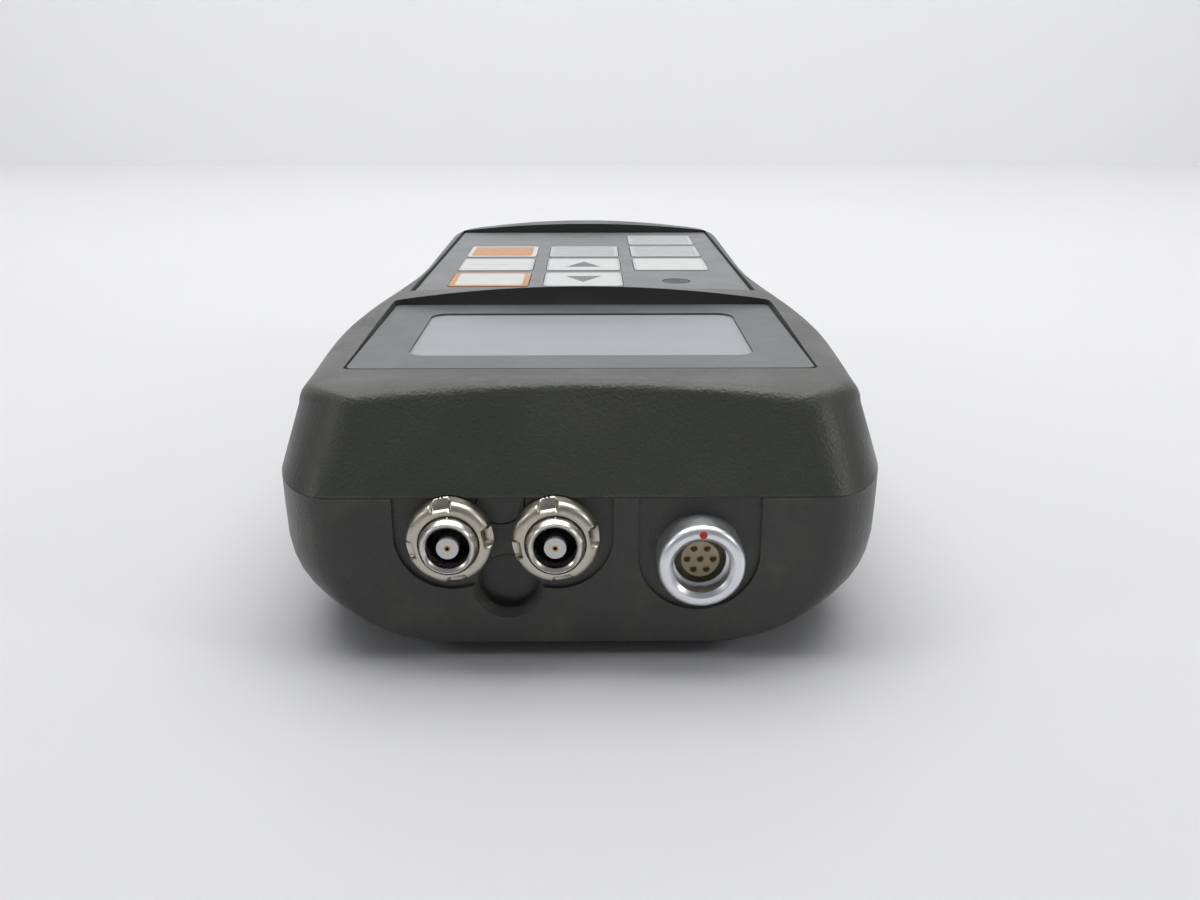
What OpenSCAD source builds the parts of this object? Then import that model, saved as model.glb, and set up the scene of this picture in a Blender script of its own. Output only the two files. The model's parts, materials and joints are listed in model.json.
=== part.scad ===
// Hand-held ultrasonic thickness gauge, lying on its back with its display up.
// Units are millimetres. The origin is at the middle of the footprint, on the table.
// +Z is up, the connector end faces -Y, and +X is to the right seen from that end.

/* [Case] */
// Length of the case without its connectors
case_l = 146; // [142:1:152]
// Width of the case where it is widest
case_w = 76; // [74:0.5:80]
// Width of the case just behind its connector end
front_w = 73.4; // [72:0.2:75]
// Width of the case at the keypad end
rear_w = 66.4; // [66:0.2:70]
// Height of the case at the ridge between the two panels
case_h = 34; // [33.4:0.1:35]
// Height of the parting line between the shells
parting_z = 20.7; // [20.5:0.05:21]
// Wall of both shells
wall = 2; // [1.8:0.1:2.2]
// Length of a rounded corner at the connector end, along the case
corner_d = 15; // [13:0.5:17]
// Width of a rounded corner at the connector end, across the case
corner_w = 8.4; // [7.6:0.2:10]
// Length of a rounded corner at the keypad end, along the case
rear_corner_d = 11; // [9.5:0.5:12]
// Width of a rounded corner at the keypad end, across the case
rear_corner_w = 8; // [7:0.5:9]
// Distance from the connector end at which the case starts to narrow
waist_from = 36.5; // [34:0.5:40]
// Distance from the connector end at which the case has its rear width
waist_to = 94; // [90:1:98]
// Lean of each side wall, from the parting line up to the shoulder
lean = 2.4; // [1.8:0.1:2.6]
// Lean of the connector end, from the parting line up to the panels
front_lean = 6.2; // [5:0.2:7]
// Radius of the shoulder between side and top
shoulder_r = 3.4; // [3:0.1:3.8]
// Radius of the shoulder at the connector end
near_shoulder_r = 1.5; // [1.2:0.1:2]
// Radius of the top edge at both ends
edge_r = 1; // [0.8:0.1:1.4]
// Height of the bottom edge above the table at both ends
end_lift = 2.3; // [1.9:0.1:2.7]
// Length over which the bottom curves up to its ends
lift_d = 14; // [12:0.5:16]
// Height at which the lower shell reaches its full width
flank_z = 17.6; // [17:0.1:18.4]

/* [Panels] */
// Height of both flat panels above the table
panel_z = 31.1; // [31:0.05:31.3]
// Thickness of the case floor under the panels
panel_floor = 1.5; // [1.3:0.05:1.6]
// Width of the display panel
display_w = 60; // [59:0.25:60.5]
// Distance of the display panel from the connector end
display_at = 17.6; // [17:0.2:18.6]
// Length of the display panel
display_l = 39.7; // [39:0.1:40.5]
// Width of the keypad panel next to the display
keypad_w = 58; // [57:0.25:58.5]
// Width of the keypad panel at its far end
keypad_rear_w = 56; // [55.5:0.25:56.5]
// Distance of the keypad panel from the connector end
keypad_at = 65.4; // [64.6:0.2:66]
// Length of the keypad panel
keypad_l = 73.4; // [73:0.1:74]
// Gap between a panel and its recess
panel_gap = 0.35; // [0.25:0.05:0.45]

/* [Display] */
// Width of the clear window area
lcd_view_w = 46; // [44:0.5:47]
// Length of the clear window area
lcd_view_l = 26; // [24:0.5:27]
// Thickness of the liquid crystal glass
lcd_glass_t = 2.2; // [2:0.05:2.4]
// Margin of the glass around the clear area
lcd_margin = 3; // [2.6:0.1:3.4]

/* [Keys] */
// Width of a key
key_w = 14; // [13:0.25:14.5]
// Length of a key
key_l = 13.2; // [12.5:0.1:13.8]
// Distance between key columns
key_pitch_x = 16.6; // [16.2:0.1:17]
// Distance between key rows
key_pitch_y = 15.7; // [15.4:0.1:15.9]
// Distance of the first row's centre from the near end of the keypad panel
first_row = 13.4; // [13:0.1:13.8]
// Travel of a key
key_travel = 0.4; // [0.3:0.05:0.45]
// Height of a key above the panel
key_proud = 0.15; // [0.1:0.05:0.3]
// Thickness of the keypad film
film_t = 0.5; // [0.4:0.05:0.6]
// Thickness of the keypad circuit layer
circuit_t = 0.4; // [0.3:0.05:0.5]
// Diameter of a snap dome
dome_d = 8; // [7:0.5:9]
// Diameter of the indicator lens
lens_d = 4.8; // [4:0.2:5.2]

/* [Coaxial sockets] */
// Distance of the left coaxial socket from the middle
coax_left_x = 14.9; // [14.7:0.1:15.3]
// Distance between the coaxial sockets
coax_pitch = 12.1; // [12:0.1:12.3]
// Height of the coaxial sockets above the table
coax_z = 15.9; // [15.6:0.1:16]
// Outer diameter of the slotted ring nut
coax_nut_d = 10; // [9.6:0.1:10.2]
// Thread diameter of the socket
coax_thread_d = 7; // [6.8:0.1:7.2]
// Bore that takes the plug
coax_bore_d = 5; // [4.8:0.1:5.2]
// Distance from the case's end to the socket's front
coax_proud = 3.5; // [3.2:0.1:3.7]
// Diameter of the white insulator
coax_insulator_d = 2.5; // [2.3:0.1:2.7]

/* [Data socket] */
// Distance of the data socket from the middle
data_x = 13.75; // [13.5:0.05:14.2]
// Height of the data socket above the table
data_z = 13.6; // [13.5:0.05:14]
// Diameter of the socket's front ring
data_ring_d = 10; // [9.8:0.1:10.2]
// Bore that takes the plug
data_bore_d = 6.5; // [6.3:0.1:6.7]
// Diameter of the thread
data_thread_d = 9; // [8.8:0.1:9]
// Distance from the case's end to the ring's front
data_proud = 3.8; // [3.5:0.1:4]
// Depth of the bore down to the contact insert
data_depth = 2.6; // [2.4:0.1:3]
// Diameter of the contact insert
data_insert_d = 4.4; // [4.2:0.1:4.6]

/* [Batteries] */
// Diameter of a cell
cell_d = 14.2; // [14:0.1:14.5]
// Length of a cell without its button
cell_l = 49.2; // [48.5:0.1:49.6]
// Thickness of the sliding battery door
door_t = 2; // [1.8:0.1:2.2]
// Width of the battery door
door_w = 30; // [29.6:0.1:30.4]
// Travel of the battery door
door_travel = 12; // [8:1:13]

/* [Boards] */
// Thickness of the circuit boards
board_t = 1.6; // [1.4:0.1:1.7]
// Width of the main board
board_w = 53; // [52:0.5:53.5]
// Distance from the main board's far end to the keypad end of the case
board_end_gap = 36; // [34:1:38]
// Diameter of the case screws' thread
case_screw_d = 2.5; // [2.2:0.1:2.8]
// Diameter of the board screws' thread
board_screw_d = 2; // [1.8:0.1:2.2]

/* [Hidden] */

// Each key: its node, its dome's node, its column and its row, counted from the display
KEYS = [
    ["multi_key", "multi_dome", -1, 0, "white"],
    ["on_key", "on_dome", -1, 1, "white"],
    ["send_key", "send_dome", -1, 2, "darkorange"],
    ["up_key", "up_dome", 0, 0, "white"],
    ["down_key", "down_dome", 0, 1, "white"],
    ["grey_key_middle", "grey_dome_middle", 0, 2, "silver"],
    ["mode_key", "mode_dome", 1, 1, "white"],
    ["grey_key_upper", "grey_dome_upper", 1, 2, "silver"],
    ["grey_key_lower", "grey_dome_lower", 1, 3, "silver"]
];

// One overrun serves all cuts, and one gap all pieces that lie beside each other
overrun = 1;
fit_gap = 0.15;
// Facets of the lofted shells: steps round a corner, an edge, a shoulder, the crown and the belly
corner_steps = 9;
edge_steps = 4;
arc_steps = 6;
crown_steps = 7;
belly_steps = 10;
body_steps = 10;
ridge_steps = 2;
// Steps round the rims of the ring nuts and of the data socket
round_steps = 4;
// Roundness of the belly's flank, where 2 is an ellipse and 1 a flat bevel
belly_power = 3.2;
// Slope up and outwards of the bottom's flanks at the connector end
belly_slope = 0.2;
// Width of the flat that the case lies on, and its largest share of the width
flat_w = 35;
flat_share = 0.7;
// Thickness of the end walls, which carry the sockets
end_wall = 3;
// Rise of the side rails above the panels, and of the crown's middle at the connector end
rail_up = 0.6;
near_crest_up = 1.4;
rear_crest_drop = 0.9;
// Land between the display and the ridge's crest, and its fall from there to the keypad
ridge_land = 0.4;
ridge_drop = 1.7;
// Corners of the panels and of the openings below them
panel_corner_r = 1;
view_corner_r = 2.5;
cavity_bevel = 1.5;

// Round sizes
$fn = 48;

// Places along the case, counted from the connector end
proud = max(coax_proud, data_proud);
front_y = (proud - case_l) / 2;
ridge_at = display_at + display_l + ridge_land;
display_mid = display_at + display_l / 2;

// Heights of the panels' layers: a pressed dome keeps its flat height
dome_flat_h = 0.3;
recess = film_t + circuit_t + key_travel + dome_flat_h;
recess_z = panel_z - recess;
ceiling_z = recess_z - panel_floor;
circuit_top = recess_z + circuit_t;
film_z = panel_z - film_t;
dome_h = film_z - circuit_top;
display_film_t = 0.3;

// Smooth step from 0 to 1
function smooth(t) = let (u = min(max(t, 0), 1)) u * u * (3 - 2 * u);

// Share by which a quarter ellipse falls short at a distance from its end
function swell(e, reach) = let (u = 1 - min(max(e, 0), reach) / reach) 1 - sqrt(1 - u * u);

// Distance to the nearer end of the case
function end_dist(d) = min(d, case_l - d);

// Share that falls from 1 at the connector end to 0 at the display
function near_share(d) = 1 - smooth(d / display_at);

// Half width of the case at the parting line, or of its cavity with the walls taken off
function side_w(d) = front_w / 2
    + (case_w - front_w) / 2 * smooth(d / waist_from)
    - (case_w - rear_w) / 2 * smooth((d - waist_from) / (waist_to - waist_from));
function half_w(d, side_in, end_in) = side_w(d) - side_in
    - (d < ridge_at
        ? corner_w * swell(d - end_in, corner_d - end_in)
        : rear_corner_w * swell(case_l - d - end_in, rear_corner_d - end_in));

// Heights of the rails, of the crown's middle and of the bottom
function rail_z(d) = panel_z + rail_up * smooth((d - display_at) / display_l)
    - edge_r * swell(end_dist(d), edge_r);
function crest_z(d) = (d < ridge_at
    ? panel_z + near_crest_up * near_share(d)
        + (case_h - panel_z) * smooth((d - display_at) / (ridge_at - display_at))
    : d < keypad_at
        ? case_h - ridge_drop * (d - ridge_at) / (keypad_at - ridge_at)
        : case_h - ridge_drop
            + (ridge_drop - rear_crest_drop) * smooth((d - keypad_at) / keypad_l))
    - edge_r * swell(end_dist(d), edge_r);
function bottom_z(d) = end_lift * (1 - smooth(end_dist(d) / lift_d));

// Steps from an end of the case, round its top edge and then round its corner
function end_places(reach) =
    let (from = acos(1 - edge_r / reach))
    concat(
        [for (k = [0 : edge_steps]) edge_r * (1 - cos(90 * k / edge_steps))],
        [for (k = [1 : corner_steps]) reach * (1 - cos(from + (90 - from) * k / corner_steps))]
    );

// Stations along the case: close together round both ends, and one on the ridge
function stations(end_in) =
    let (near = end_places(corner_d - end_in), far = end_places(rear_corner_d - end_in))
    concat(
        [for (e = near) end_in + e],
        [for (k = [1 : body_steps]) corner_d + (ridge_at - corner_d) * k / body_steps],
        [for (k = [1 : ridge_steps]) ridge_at + (keypad_at - ridge_at) * k / ridge_steps],
        [for (k = [1 : body_steps]) keypad_at + (case_l - rear_corner_d - keypad_at) * k / body_steps],
        [for (k = [len(far) - 2 : -1 : 0]) case_l - end_in - far[k]]
    );

// Rows of [x, z] mirrored or turned round, so that a section runs counterclockwise
function flipped(row) = [for (k = [len(row) - 1 : -1 : 0]) [-row[k][0], row[k][1]]];
function reversed(row) = [for (k = [len(row) - 1 : -1 : 0]) row[k]];

// Right half of the upper shell's outer section: leaning side, shoulder, half the crown
function upper_half(d) =
    let (
        w = half_w(d, 0, 0),
        r = shoulder_r - (shoulder_r - near_shoulder_r) * near_share(d),
        top_w = w - lean - r,
        rail = rail_z(d),
        crest = crest_z(d)
    )
    concat(
        [[w, parting_z]],
        [for (k = [0 : arc_steps])
            let (a = 90 * k / arc_steps)
            [top_w + r * cos(a), rail - r * (1 - sin(a))]],
        [for (k = [1 : crown_steps - 1])
            let (share = 1 - k / crown_steps)
            [top_w * share, crest - (crest - rail) * share * share]]
    );

// Right half of the upper cavity's section, under a flat ceiling
function upper_cavity_half(d) =
    let (w = half_w(d, wall, end_wall))
    [
        [w, parting_z - overrun],
        [w, parting_z],
        [w - lean, ceiling_z - cavity_bevel],
        [w - lean - cavity_bevel, ceiling_z]
    ];

// Right half of a belly section: the flank from the top down, then half the flat bottom
function belly_half(w, low, high, top, slope) = concat(
    [[w, top]],
    [for (k = [0 : belly_steps])
        let (
            a = 90 * k / belly_steps,
            flat = min(flat_w / 2, w * flat_share),
            out = (w - flat) * pow(cos(a), 2 / belly_power)
        )
        [flat + out, high - (high - low - slope * out) * pow(sin(a), 2 / belly_power)]]
);

// Sections of the four lofts, each a closed loop that runs counterclockwise from the front
function upper_section(d) =
    let (half = upper_half(d))
    concat(half, [[0, crest_z(d)]], flipped(half));
function upper_cavity_section(d) = let (half = upper_cavity_half(d)) concat(half, flipped(half));
function lower_section(d) =
    let (
        w = half_w(d, 0, 0),
        half = belly_half(w, bottom_z(d), flank_z, parting_z, belly_slope * near_share(d))
    )
    reversed(concat(half, flipped(half)));
function lower_cavity_section(d) =
    let (
        w = half_w(d, wall, end_wall),
        slope = belly_slope * near_share(d),
        half = belly_half(w, bottom_z(d) + wall, flank_z, parting_z + overrun, slope)
    )
    reversed(concat(half, flipped(half)));

// Closed skin through the sections, each a loop of [x, z] at its station, leaning back near the front
module loft(places, sections, leaning) {
    m = len(sections[0]);
    n = len(sections);
    slope = leaning / (panel_z - parting_z);
    points = [for (i = [0 : n - 1]) for (p = sections[i])
        [p[0], places[i] + slope * (p[1] - parting_z) * near_share(places[i]), p[1]]];
    sides = [for (i = [0 : n - 2]) for (j = [0 : m - 1])
        let (a = i * m + j, b = i * m + (j + 1) % m)
        each [[a, b, b + m], [a, b + m, a + m]]];
    front = [[for (j = [m - 1 : -1 : 0]) j]];
    back = [[for (j = [0 : m - 1]) (n - 1) * m + j]];
    polyhedron(points = points, faces = concat(sides, front, back));
}

// Rounded front edge of a lathe profile, whose radius is out_r, from its face to its side
function round_edge(out_r, round_r) =
    [for (k = [0 : round_steps])
        let (a = 90 * k / round_steps)
        [out_r - round_r * (1 - sin(a)), round_r * (1 - cos(a))]];

// Flat shapes
module rounded_plate(w, l, r) {
    for (x = [-1, 1])
        translate([x * (w / 2 - r), 0])
            square([2 * r, l - 2 * r], center = true);
    square([w - 2 * r, l], center = true);
    for (x = [-1, 1], y = [-1, 1])
        translate([x * (w / 2 - r), y * (l / 2 - r)])
            circle(r = r);
}

// Outline of the keypad panel, made smaller by a gap all round
module keypad_outline(gap) {
    polygon([
        [-keypad_w / 2 + gap, keypad_at + gap],
        [keypad_w / 2 - gap, keypad_at + gap],
        [keypad_rear_w / 2 - gap, keypad_at + keypad_l - gap],
        [-keypad_rear_w / 2 + gap, keypad_at + keypad_l - gap]
    ]);
}

// Places children at a place counted from the connector end
module placed() {
    translate([0, front_y, 0])
        children();
}

// Turns a round piece drawn along +Z so that it runs from the front to the back
module along_case(x, from, z) {
    translate([x, from, z])
        rotate([-90, 0, 0])
            children();
}

// Places children at every key
module at_key(key) {
    translate([key[2] * key_pitch_x, keypad_at + first_row + key[3] * key_pitch_y, 0])
        children();
}

// Places of the battery box, counted from the connector end
button_l = 1.3;
button_d = 5.2;
leaf_reach = 2.6;
contact_t = 0.5;
contact_w = 9;
contact_h = 8;
cell_play = 0.4;
box_wall = 1.5;
box_l = cell_l + button_l + leaf_reach + contact_t + cell_play;
box_margin = 8;
box_end = case_l - end_wall - box_margin;
box_at = box_end - box_l;
cell_gap = 0.6;
cell_rim = 0.6;
cell_x = (cell_d + cell_gap) / 2;
box_half = cell_x + cell_d / 2 + cell_play / 2;
cell_z = door_t + cell_play + cell_d / 2;
box_roof_z = cell_z + cell_d / 2 + cell_play;
door_lap = 2;
door_inset = 9.5;
door_at = box_at - box_wall - door_lap;
door_end = case_l - door_inset;
door_raise = 0.15;

// Hooks on both sides of the door, which reach their openings after its travel
hook_reach = 1;
hook_t = 0.7;
hook_z = 0.9;
hook_count = 2;
hook_from = 3;
hook_play = 1;
hook_l = door_travel - 2 * hook_play;
hook_pitch = 2 * door_travel;

// Grip grooves across the door
grip_count = 5;
grip_side = 4;
grip_from = 3;
grip_pitch = 2;
grip_w = 1;
grip_depth = 0.4;

// Screws: places, heads and bosses
front_screw_x = 30;
front_screw_at = 22;
rear_screw_x = 23;
rear_screw_in = 20;
case_screws_at = [[front_screw_x, front_screw_at], [rear_screw_x, case_l - rear_screw_in]];
screw_seat_z = 9;
case_boss_r = 3;
case_head_d = 4.5;
case_head_h = 2;
screw_cover = 2;
case_screw_end = ceiling_z - screw_cover;
board_at = 14;
board_l = case_l - board_at - board_end_gap;
board_screw_side = 4.5;
board_screw_front = 3.5;
board_screw_rear = 4;
board_screw_x = board_w / 2 - board_screw_side;
board_screws_at = [
    [board_screw_x, board_at + board_screw_front],
    [board_screw_x, board_at + board_l - board_screw_rear]
];
board_boss_r = 2.4;
board_head_d = 3.6;
board_head_h = 1.4;
screw_play = 0.1;
socket_depth = 1;

// Boards and display, from the top down
frame_lip = 0.4;
frame_wall = 0.5;
strip_t = 2;
strip_h = 2.7;
frame_top = ceiling_z - fit_gap;
glass_top = frame_top - frame_lip;
glass_z = glass_top - lcd_glass_t;
board_top = glass_z - strip_h;
glass_w = lcd_view_w + 2 * lcd_margin;
glass_l = lcd_view_l + 2 * lcd_margin;
view_lip = 1;
backlight_t = 1;
upright_at = 12;
upright_low = 7;
upright_half = 23;

// Connector end: shallow recesses, the tab of the upper shell and the round recess
panel_recess = 0.5;
coax_recess_r = 6.6;
data_recess_r = 7.1;
tab_x = -9.1;
tab_r = 2.7;
tab_h = 3.3;
tab_root = 0.7;
dimple_x = -8.4;
dimple_z = 9.8;
dimple_r = 3.4;
dimple_rim = 0.9;
dimple_depth = 2.2;

// Keypad tail and its slot through the case floor
tail_w = 14;
tail_t = 0.3;
tail_in = 3.2;
tail_at = keypad_at + tail_in;
tail_slot = 0.5;
key_corner_r = 1;
key_gap = 0.12;
dome_t = 0.2;

// Coaxial sockets: front step, flange behind the wall, tail, and the nut with its slots
coax_step = 0.2;
coax_step_l = 1;
coax_bevel = 0.35;
flange_up = 1;
flange_t = 1.2;
coax_tail_wall = 0.5;
coax_nut_front = 1.3;
coax_nut_round = 1;
slot_w = 2;
slot_depth = 1.1;
slot_turn = 80;
coax_pin_front = 0.3;
pin_hole_d = 0.45;
pin_hole_depth = 3;

// Data socket: rounded rim, bevelled mouth, tail and the thread that is left past its nut
data_round = 0.9;
data_mouth = 0.5;
data_tail_step = 0.5;
data_slim_l = 3;
thread_spare = 1;

// Contacts of the sockets, and the data socket's nut and index dot
pin_d = 0.8;
pin_tail = 1.2;
coax_bore_depth = 6;
contact_ring_share = 0.34;
contact_back = 0.8;
nut_t = 2;
nut_rim = 1.6;
data_step = 0.25;
dot_d = 0.9;
dot_up = 4.1;
dot_depth = 0.2;

// Indicator, screw lengths and the tail's seat in its connector
led_before_row = 1.4;
led_at = keypad_at + first_row - led_before_row;
led_d = 3;
board_screw_l = 4.4;
tail_seat = 0.6;
tail_socket_side = 2;
tail_socket_l = 4;
tail_socket_h = 3;
socket_share = 0.6;

// Chips under the main board, each with its width, length, x and y as shares of the board
chip_h = 1.2;
chip_shares = [
    [0.26, 0.15, 0, 0.29], [0.19, 0.1, -0.28, 0.48], [0.15, 0.125, 0.28, 0.5],
    [0.13, 0.05, -0.3, 0.17], [0.13, 0.05, 0.3, 0.21]
];
header_w = 26;
header_h = 2.5;

// Every case screw place, and every board screw place, with its mirror
module at_case_screws() {
    for (p = case_screws_at, side = [-1, 1])
        translate([side * p[0], p[1], 0])
            children();
}

module at_board_screws() {
    for (p = board_screws_at, side = [-1, 1])
        translate([side * p[0], p[1], 0])
            children();
}

// Upper shell
module panel_recesses() {
    translate([0, 0, recess_z])
        linear_extrude(case_h) {
            translate([0, display_mid])
                rounded_plate(display_w, display_l, panel_corner_r);
            keypad_outline(0);
        }
}

module panel_floor_holes() {
    translate([0, display_mid, ceiling_z - overrun])
        linear_extrude(case_h)
            rounded_plate(lcd_view_w + 2 * view_lip, lcd_view_l + 2 * view_lip, view_corner_r);
    translate([-tail_w / 2 - tail_slot, tail_at - tail_slot, ceiling_z - overrun])
        cube([tail_w + 2 * tail_slot, tail_t + 2 * tail_slot, case_h]);
    translate([key_pitch_x, led_at, ceiling_z - overrun])
        cylinder(d = led_d + 2 * fit_gap, h = case_h);
}

module end_tab(gap) {
    half = tab_r + gap;
    thick = end_wall - panel_recess;
    difference() {
        translate([tab_x, panel_recess, parting_z - tab_h + tab_r])
            rotate([-90, 0, 0])
                cylinder(r = half, h = thick);
        translate([tab_x - half - overrun, panel_recess - overrun, parting_z + tab_root])
            cube([2 * (half + overrun), thick + 2 * overrun, half]);
    }
}

module upper_shell() {
    places = stations(0);
    inner = stations(end_wall);
    color("darkslategray")
        placed()
            difference() {
                union() {
                    difference() {
                        loft(places, [for (d = places) upper_section(d)], front_lean);
                        loft(inner, [for (d = inner) upper_cavity_section(d)], front_lean);
                        panel_recesses();
                    }
                    at_case_screws()
                        translate([0, 0, parting_z])
                            cylinder(r = case_boss_r, h = recess_z - parting_z);
                    at_board_screws()
                        translate([0, 0, board_top])
                            cylinder(r = board_boss_r, h = recess_z - board_top);
                    end_tab(0);
                }
                at_case_screws()
                    translate([0, 0, parting_z - overrun])
                        cylinder(
                            d = case_screw_d + screw_play,
                            h = case_screw_end - parting_z + 2 * overrun
                        );
                at_board_screws()
                    translate([0, 0, board_top - overrun])
                        cylinder(d = board_screw_d + screw_play, h = board_screw_l - board_t + 2 * overrun);
                for (x = [0, coax_pitch])
                    along_case(x - coax_left_x, -overrun, coax_z)
                        cylinder(r = coax_nut_d / 2 + fit_gap, h = overrun + panel_recess);
                panel_floor_holes();
            }
}

// Lower shell
module connector_recesses() {
    for (x = [0, coax_pitch])
        along_case(x - coax_left_x, -overrun, coax_z)
            cylinder(r = coax_recess_r, h = overrun + panel_recess);
    translate([-coax_left_x - coax_recess_r, -overrun, coax_z])
        cube([coax_pitch + 2 * coax_recess_r, overrun + panel_recess, parting_z - coax_z + overrun]);
    along_case(data_x, -overrun, data_z)
        cylinder(r = data_recess_r, h = overrun + panel_recess);
    translate([data_x - data_recess_r, -overrun, data_z])
        cube([2 * data_recess_r, overrun + panel_recess, parting_z - data_z + overrun]);
}

module connector_holes() {
    for (x = [0, coax_pitch])
        along_case(x - coax_left_x, -overrun, coax_z)
            cylinder(d = coax_thread_d + 2 * fit_gap, h = end_wall + 2 * overrun);
    along_case(data_x, -overrun, data_z)
        cylinder(d = data_thread_d + 2 * fit_gap, h = end_wall + 2 * overrun);
    along_case(dimple_x, -overrun, dimple_z)
        cylinder(r = dimple_r, h = overrun + dimple_depth);
    along_case(dimple_x, 0, dimple_z)
        cylinder(r1 = dimple_r + dimple_rim, r2 = dimple_r, h = dimple_rim);
}

module battery_box() {
    translate([-box_half - box_wall, box_at - box_wall, 0])
        cube([2 * (box_half + box_wall), box_l + 2 * box_wall, box_roof_z + box_wall]);
}

module at_hooks() {
    for (k = [0 : hook_count - 1])
        translate([0, door_at + hook_from + k * hook_pitch, 0])
            children();
}

module door_cut() {
    cut_at = door_at - fit_gap;
    cut_half = door_w / 2 + fit_gap;
    translate([-cut_half, cut_at, -overrun])
        cube([2 * cut_half, case_l, overrun + door_t + fit_gap]);
    reach = cut_half + hook_reach;
    groove_l = hook_l + door_travel + 2 * fit_gap;
    at_hooks() {
        translate([-reach, -fit_gap, hook_z - fit_gap])
            cube([2 * reach, groove_l, hook_t + 2 * fit_gap]);
        translate([-reach, door_travel - fit_gap, -overrun])
            cube([2 * reach, hook_l + 2 * fit_gap, overrun + hook_z]);
    }
}

module lower_shell() {
    places = stations(0);
    inner = stations(end_wall);
    color("darkslategray")
        placed()
            difference() {
                union() {
                    difference() {
                        loft(places, [for (d = places) lower_section(d)], 0);
                        loft(inner, [for (d = inner) lower_cavity_section(d)], 0);
                    }
                    intersection() {
                        loft(places, [for (d = places) lower_section(d)], 0);
                        union() {
                            battery_box();
                            at_case_screws()
                                cylinder(r = case_boss_r, h = parting_z);
                        }
                    }
                }
                translate([-box_half, box_at, door_t])
                    cube([2 * box_half, box_l, box_roof_z - door_t]);
                door_cut();
                connector_recesses();
                connector_holes();
                end_tab(fit_gap);
                at_case_screws() {
                    translate([0, 0, -overrun])
                        cylinder(d = case_head_d + 2 * fit_gap, h = screw_seat_z + overrun);
                    cylinder(d = case_screw_d + 2 * fit_gap, h = parting_z + overrun);
                }
            }
}

// Battery door, a slice of the belly with hooks on both sides
module battery_door() {
    places = stations(0);
    grip_half = door_w / 2 - grip_side;
    color("darkslategray")
        placed()
            difference() {
                union() {
                    intersection() {
                        loft(places, [for (d = places) lower_section(d)], 0);
                        translate([-door_w / 2, door_at, door_raise])
                            cube([door_w, door_end - door_at, door_t - door_raise]);
                    }
                    at_hooks()
                        translate([-door_w / 2 - hook_reach + fit_gap, 0, hook_z])
                            cube([door_w + 2 * (hook_reach - fit_gap), hook_l, hook_t]);
                }
                for (k = [0 : grip_count - 1])
                    translate([-grip_half, door_at + grip_from + k * grip_pitch, -overrun])
                        cube([2 * grip_half, grip_w, overrun + door_raise + grip_depth]);
            }
}

// Display
module display_window() {
    color("lightgray")
        placed()
            translate([0, display_mid, recess_z])
                linear_extrude(recess - display_film_t)
                    rounded_plate(display_w - 2 * panel_gap, display_l - 2 * panel_gap, panel_corner_r);
}

module display_overlay() {
    color("dimgray")
        placed()
            translate([0, display_mid, panel_z - display_film_t])
                linear_extrude(display_film_t)
                    difference() {
                        rounded_plate(display_w - 2 * panel_gap, display_l - 2 * panel_gap, panel_corner_r);
                        rounded_plate(lcd_view_w, lcd_view_l, view_corner_r);
                    }
}

module lcd_glass() {
    color("darkseagreen")
        placed()
            translate([-glass_w / 2, display_mid - glass_l / 2, glass_z])
                cube([glass_w, glass_l, lcd_glass_t]);
}

module lcd_frame() {
    outer_w = glass_w + 2 * (fit_gap + frame_wall);
    outer_l = glass_l + 2 * (fit_gap + frame_wall);
    color("silver")
        placed()
            translate([0, display_mid, 0])
                difference() {
                    translate([-outer_w / 2, -outer_l / 2, board_top])
                        cube([outer_w, outer_l, frame_top - board_top]);
                    translate([-glass_w / 2 - fit_gap, -glass_l / 2 - fit_gap, board_top - overrun])
                        cube([
                            glass_w + 2 * fit_gap,
                            glass_l + 2 * fit_gap,
                            glass_top - board_top + overrun
                        ]);
                    translate([-lcd_view_w / 2 - view_lip, -lcd_view_l / 2 - view_lip, glass_z])
                        cube([lcd_view_w + 2 * view_lip, lcd_view_l + 2 * view_lip, case_h]);
                }
}

module lcd_strips() {
    color("black")
        placed()
            for (side = [-1, 1])
                translate([0, display_mid + side * (glass_l - strip_t) / 2, board_top + strip_h / 2])
                    cube([lcd_view_w, strip_t, strip_h], center = true);
}

module backlight_panel() {
    color("ivory")
        placed()
            translate([-lcd_view_w / 2, display_mid - lcd_view_l / 2, glass_z - backlight_t])
                cube([lcd_view_w, lcd_view_l, backlight_t]);
}

// Boards
module main_board() {
    color("darkgreen")
        placed()
            difference() {
                translate([-board_w / 2, board_at, board_top - board_t])
                    cube([board_w, board_l, board_t]);
                at_board_screws()
                    translate([0, 0, board_top - board_t - overrun])
                        cylinder(d = board_screw_d + 2 * fit_gap, h = board_t + 2 * overrun);
            }
}

module main_chips() {
    color("black")
        placed()
            for (share = chip_shares)
                translate([
                    board_w * (share[2] - share[0] / 2),
                    board_at + board_l * (share[3] - share[1] / 2),
                    board_top - board_t - chip_h
                ])
                    cube([board_w * share[0], board_l * share[1], chip_h]);
}

module connector_board() {
    color("darkgreen")
        placed()
            difference() {
                translate([-upright_half, upright_at, upright_low])
                    cube([2 * upright_half, board_t, board_top - board_t - fit_gap - upright_low]);
                for (x = [0, coax_pitch])
                    along_case(x - coax_left_x, upright_at - overrun, coax_z)
                        cylinder(d = pin_d + fit_gap, h = board_t + 2 * overrun);
                at_data_contacts()
                    along_case(0, upright_at - overrun, 0)
                        cylinder(d = pin_d + fit_gap, h = board_t + 2 * overrun);
            }
}

module board_header() {
    color("black")
        placed()
            translate([-header_w / 2, upright_at + board_t, board_top - board_t - header_h])
                cube([header_w, header_h, header_h]);
}

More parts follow.
